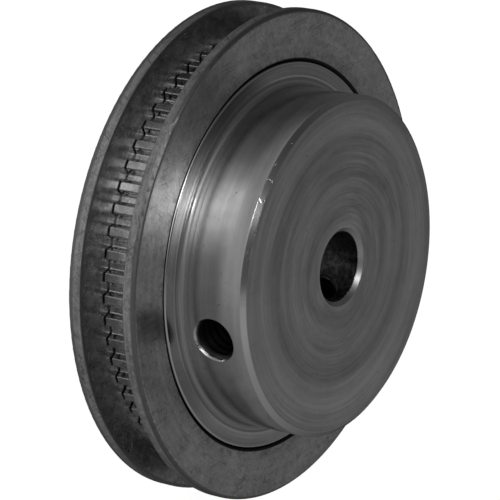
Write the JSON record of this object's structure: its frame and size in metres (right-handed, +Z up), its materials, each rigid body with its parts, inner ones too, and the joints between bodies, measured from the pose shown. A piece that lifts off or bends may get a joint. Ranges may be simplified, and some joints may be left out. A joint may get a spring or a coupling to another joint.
{
  "type": "timing belt pulley",
  "caption": "Toothed wheel for a narrow timing belt, with a flange each side of the belt, a hub on one side and set screws that clamp it to a shaft.",
  "frame": {"origin": "on the shaft axis, in the middle of the belt face between the two flanges", "axes": "+Y along the shaft axis, away from the hub; the hub points to -Y; +Z up; set_screw_a lies 13.5 degrees below -X and set_screw_b 90 degrees further on"},
  "size_m": [0.0444, 0.0133, 0.0444],
  "materials": {
    "body": "turned, dull grey with fine tool marks",
    "flange": "stamped sheet, satin with handling scratches",
    "set_screw": "black oxide alloy steel"
  },
  "bodies": {
    "pulley": {"pulley_body": "body", "hub_side_flange": "flange", "plain_side_flange": "flange"},
    "screw_a": {"set_screw_a": "set_screw"},
    "screw_b": {"set_screw_b": "set_screw"}
  },
  "joints": [
    {"name": "screw_a_travel", "type": "slide", "parent": "pulley", "child": "screw_a", "axis": [-0.9724, 0, -0.2334], "range_m": [-0.00079, 0.01032]},
    {"name": "screw_b_travel", "type": "slide", "parent": "pulley", "child": "screw_b", "axis": [0.2334, 0, -0.9724], "range_m": [-0.00079, 0.01032]}
  ]
}
